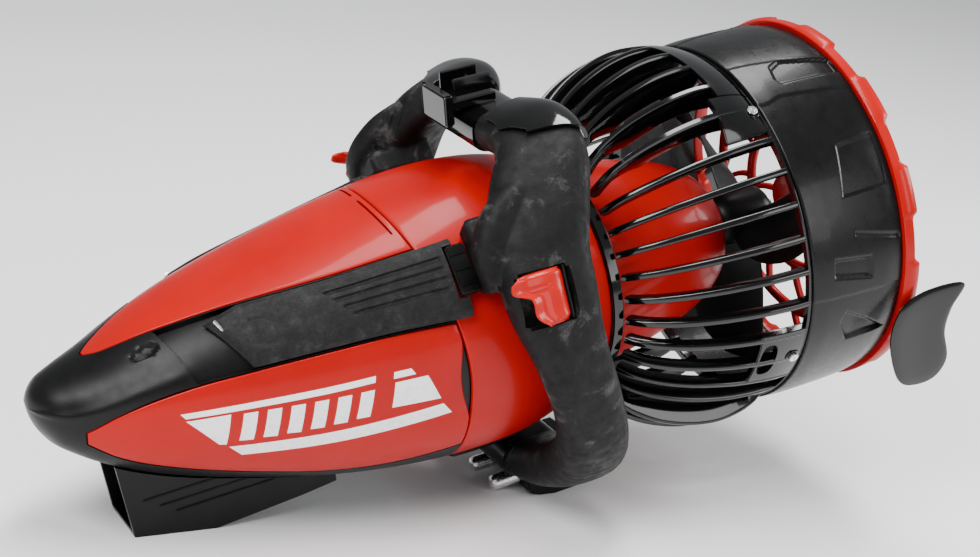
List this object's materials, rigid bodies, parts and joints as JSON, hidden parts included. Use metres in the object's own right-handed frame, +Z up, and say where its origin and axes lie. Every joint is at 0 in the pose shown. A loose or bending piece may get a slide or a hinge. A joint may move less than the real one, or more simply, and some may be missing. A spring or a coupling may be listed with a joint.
{
  "type": "underwater scooter",
  "caption": "Hand-held underwater scooter: pointed hull with latched nose, handle ring with triggers, caged motor pod, ducted propeller, rear guard, steering winglets and keel skid.",
  "frame": {"origin": "middle of the base, on the floor that the keel skid and the weight holder stand on", "axes": "+Y towards the propeller, the nose points to -Y and tips down by 13.2 degrees, +X towards the diver's left hand, +Z up"},
  "size_m": [0.337, 0.7212, 0.3952],
  "materials": {
    "red_gloss": "glossy moulded red plastic",
    "black_satin": "satin moulded black plastic",
    "black_gloss": "glossy black plastic",
    "grip_rubber": "scuffed textured soft-touch grip",
    "seal_rubber": "matte seal rubber",
    "polished_steel": "polished stainless steel",
    "brass": "bright",
    "circuit_board": "green solder mask",
    "battery_case": "matte"
  },
  "bodies": {
    "hull": {"accessory_rail": "black_gloss", "battery_cradle": "black_satin", "battery_pack": "battery_case", "battery_plug": "brass", "bearing_front": "polished_steel", "bearing_rear": "polished_steel", "bulkhead": "black_satin", "bulkhead_seal": "seal_rubber", "bulkhead_spigot": "black_satin", "cage": "black_gloss", "controller_board": "circuit_board", "corner_screw_1": "polished_steel", "corner_screw_2": "polished_steel", "corner_screw_3": "polished_steel", "corner_screw_4": "polished_steel", "grip_left": "grip_rubber", "grip_right": "grip_rubber", "handle_saddle": "black_satin", "latch_catch_left": "black_satin", "latch_catch_right": "black_satin", "lower_bridge": "black_satin", "main_hull": "red_gloss", "motor_can": "polished_steel", "motor_end_cap": "black_satin", "motor_pod": "red_gloss", "rear_guard": "red_gloss", "shaft_seal": "seal_rubber", "shoulder_cover_left": "black_gloss", "shoulder_cover_right": "black_gloss", "shroud": "black_satin", "top_bridge": "black_gloss", "trigger_pin_left": "polished_steel", "trigger_pin_right": "polished_steel", "trigger_spring_left": "polished_steel", "trigger_spring_right": "polished_steel", "weight_holder": "black_satin", "weight_rod_left": "polished_steel", "weight_rod_right": "polished_steel", "winglet_left": "black_gloss", "winglet_right": "black_gloss"},
    "nose": {"nose_frame": "black_satin", "nose_top_panel": "red_gloss", "nose_side_panel_left": "red_gloss", "nose_side_panel_right": "red_gloss", "keel_skid": "black_satin", "latch_pin_left": "polished_steel", "latch_pin_right": "polished_steel"},
    "latch_left": {"latch_lever_left": "grip_rubber"},
    "latch_right": {"latch_lever_right": "grip_rubber"},
    "trigger_left": {"trigger_left": "red_gloss"},
    "trigger_right": {"trigger_right": "red_gloss"},
    "propeller": {"propeller": "black_satin", "drive_shaft": "polished_steel", "motor_rotor": "brass", "propeller_nut": "polished_steel"}
  },
  "joints": [
    {"name": "nose_slide", "type": "slide", "parent": "hull", "child": "nose", "axis": [0, -0.9735, -0.2288], "range_m": [0, 0.24]},
    {"name": "latch_left_hinge", "type": "hinge", "parent": "nose", "child": "latch_left", "pos_m": [0.05897, -0.23195, 0.17142], "axis": [0.5771, 0.5798, -0.5752], "range_deg": [0, 80]},
    {"name": "latch_right_hinge", "type": "hinge", "parent": "nose", "child": "latch_right", "pos_m": [-0.05897, -0.23195, 0.17142], "axis": [0.5771, -0.5798, 0.5752], "range_deg": [0, 80]},
    {"name": "trigger_left_hinge", "type": "hinge", "parent": "hull", "child": "trigger_left", "pos_m": [0.14758, -0.00993, 0.22988], "axis": [0.3499, 0.2143, -0.9119], "range_deg": [0, 8], "stiffness_Nm_per_rad": 0.6, "springref_deg": -4.58},
    {"name": "trigger_right_hinge", "type": "hinge", "parent": "hull", "child": "trigger_right", "pos_m": [-0.14758, -0.00993, 0.22988], "axis": [0.3499, -0.2143, 0.9119], "range_deg": [0, 8], "stiffness_Nm_per_rad": 0.6, "springref_deg": -4.58},
    {"name": "propeller_spin", "type": "hinge", "parent": "hull", "child": "propeller", "pos_m": [0, 0.13639, 0.20171], "axis": [0, 0.9735, 0.2288], "continuous": true}
  ]
}
